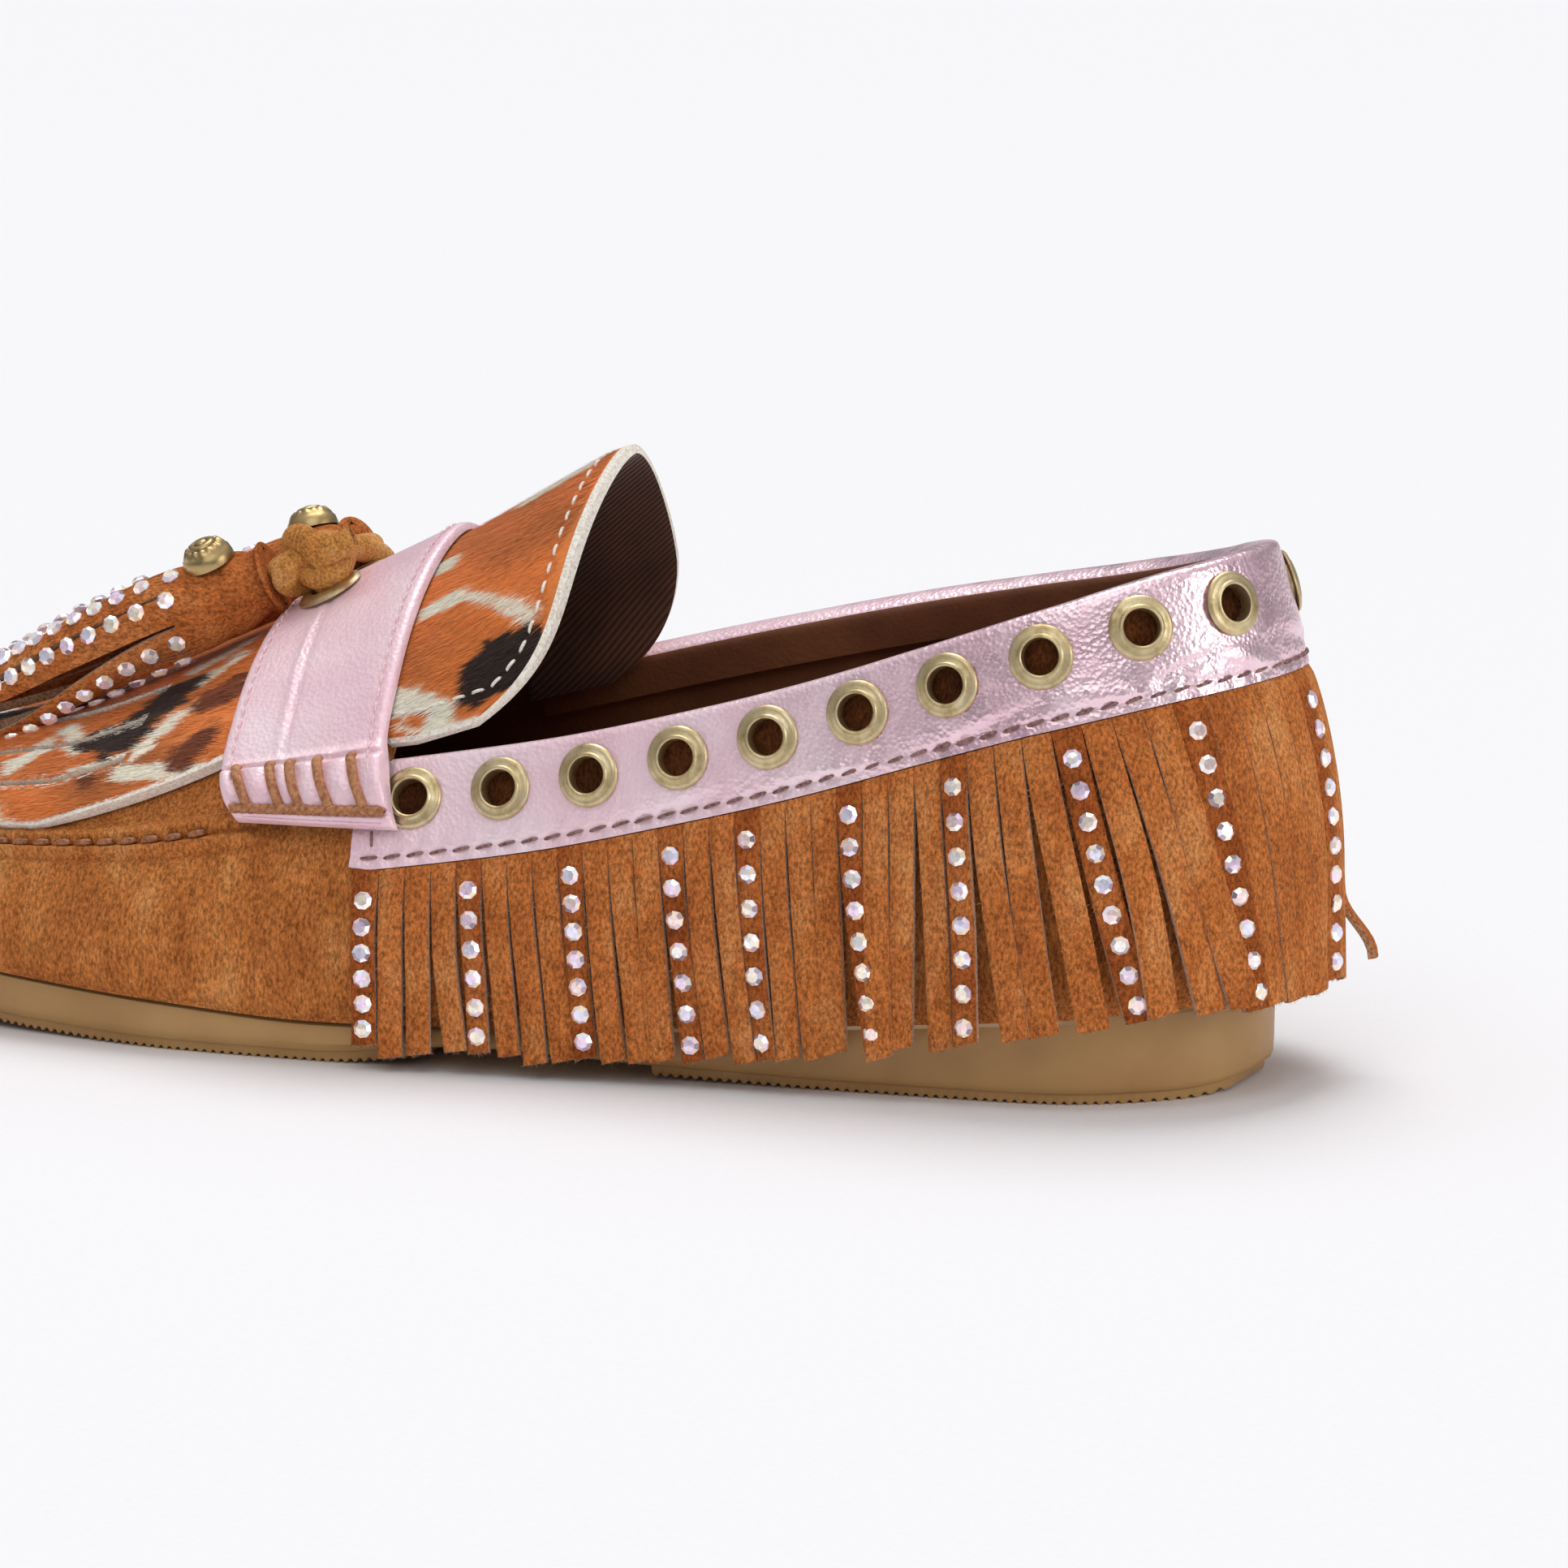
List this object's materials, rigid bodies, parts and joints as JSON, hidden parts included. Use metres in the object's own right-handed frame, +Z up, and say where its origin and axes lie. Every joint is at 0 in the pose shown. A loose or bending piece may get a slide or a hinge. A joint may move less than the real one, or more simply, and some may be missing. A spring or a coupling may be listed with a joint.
{
  "type": "kiltie loafer",
  "caption": "Left women's suede moccasin loafer with an eyeleted metallic leather collar, a beaded cut fringe, a saddle strap, a calf-hair tongue and kiltie, and two suede tassels.",
  "frame": {"origin": "on the floor under the middle of the heel's tread", "axes": "+X to the toe, +Y to the outer side of the foot, +Z up"},
  "size_m": [0.2511, 0.0845, 0.0838],
  "materials": {
    "suede": "brushed tan-brown suede",
    "gum_rubber": "satin gum rubber",
    "metallic_leather": "crinkled pink metallic nappa",
    "calf_hair": "rust, cream and black calf hair",
    "antique_brass": "antique, engraved",
    "sock_leather": "smooth brown leather"
  },
  "bodies": {
    "root": {"outsole": "gum_rubber", "upper": "suede", "insole": "sock_leather", "collar": "metallic_leather", "fringe": "suede", "tongue": "calf_hair", "kiltie": "calf_hair", "strap": "metallic_leather", "tassel-outer": "suede", "tassel-inner": "suede", "stud-outer": "antique_brass", "stud-inner": "antique_brass", "strap-eyelet-outer": "antique_brass", "strap-eyelet-inner": "antique_brass", "thong": "suede", "eyelet-outer-1": "antique_brass", "eyelet-outer-2": "antique_brass", "eyelet-outer-3": "antique_brass", "eyelet-outer-4": "antique_brass", "eyelet-outer-5": "antique_brass", "eyelet-outer-6": "antique_brass", "eyelet-outer-7": "antique_brass", "eyelet-outer-8": "antique_brass", "eyelet-outer-9": "antique_brass", "eyelet-outer-10": "antique_brass", "eyelet-inner-1": "antique_brass", "eyelet-inner-2": "antique_brass", "eyelet-inner-3": "antique_brass", "eyelet-inner-4": "antique_brass", "eyelet-inner-5": "antique_brass", "eyelet-inner-6": "antique_brass", "eyelet-inner-7": "antique_brass", "eyelet-inner-8": "antique_brass", "eyelet-inner-9": "antique_brass", "eyelet-inner-10": "antique_brass"}
  },
  "joints": []
}
